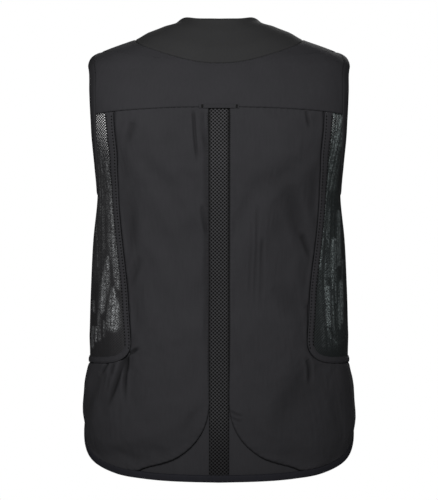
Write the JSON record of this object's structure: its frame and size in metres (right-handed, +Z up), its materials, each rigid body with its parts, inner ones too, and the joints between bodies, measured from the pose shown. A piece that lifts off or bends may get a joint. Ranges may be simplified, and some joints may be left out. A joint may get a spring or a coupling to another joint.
{
  "type": "airbag vest",
  "caption": "Sleeveless black airbag vest for riders: padded panels, a mesh strip down the spine, see-through mesh sides, a padded collar, taped armholes and hem, and a front zip.",
  "frame": {"origin": "midway between the shoulders, at the height where the vest sits on them beside the collar", "axes": "+X to the wearer's right, +Y to the wearer's front, +Z up"},
  "size_m": [0.3789, 0.2483, 0.6359],
  "materials": {
    "shell_fabric": "matt black woven stretch fabric with a fine crinkle",
    "edge_tape": "matt black ribbed binding tape",
    "spacer_mesh": "black knitted spacer mesh with round holes",
    "side_net": "black open net",
    "zip": "black zip on woven tape"
  },
  "bodies": {
    "root": {"collar": "shell_fabric", "yoke": "shell_fabric", "back_panel_left": "shell_fabric", "back_panel_right": "shell_fabric", "front_panel_left": "shell_fabric", "front_panel_right": "shell_fabric", "tail_panel": "shell_fabric", "centre_mesh": "spacer_mesh", "side_mesh_left": "side_net", "side_mesh_right": "side_net", "hang_loop": "edge_tape", "hem_band": "edge_tape", "mesh_binding_left": "edge_tape", "mesh_binding_right": "edge_tape", "armhole_binding_left": "edge_tape", "armhole_binding_right": "edge_tape", "front_zip": "zip"}
  },
  "joints": []
}
